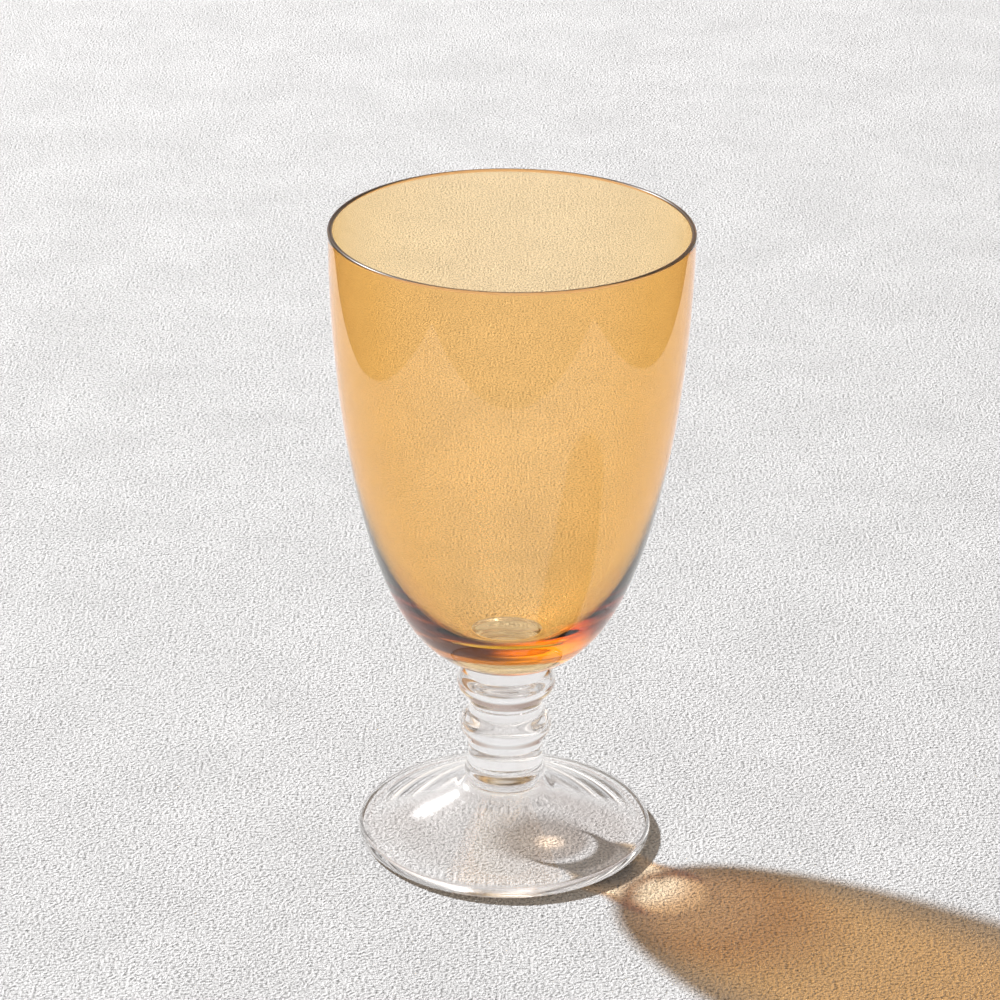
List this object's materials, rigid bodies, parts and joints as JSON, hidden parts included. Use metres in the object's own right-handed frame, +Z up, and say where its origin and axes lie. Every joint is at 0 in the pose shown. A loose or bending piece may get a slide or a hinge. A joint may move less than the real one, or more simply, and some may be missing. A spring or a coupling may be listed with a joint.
{
  "type": "water goblet",
  "caption": "Stemmed water goblet: a deep thin-walled glass bowl stained amber outside, on a short beaded clear stem and a round hollow clear foot, for drinking from at table.",
  "frame": {"origin": "centre of the foot, on the plane that the goblet stands on", "axes": "+Z up along the axis of revolution, from the foot to the rim. X and Y are free, because the goblet is round"},
  "size_m": [0.0896, 0.0894, 0.165],
  "materials": {
    "amber_glass": "polished colourless glass with a thin transparent amber stain on the outside",
    "clear_glass": "polished transparent colourless glass"
  },
  "bodies": {
    "root": {"bowl": "amber_glass", "stem": "clear_glass", "foot": "clear_glass"}
  },
  "joints": []
}
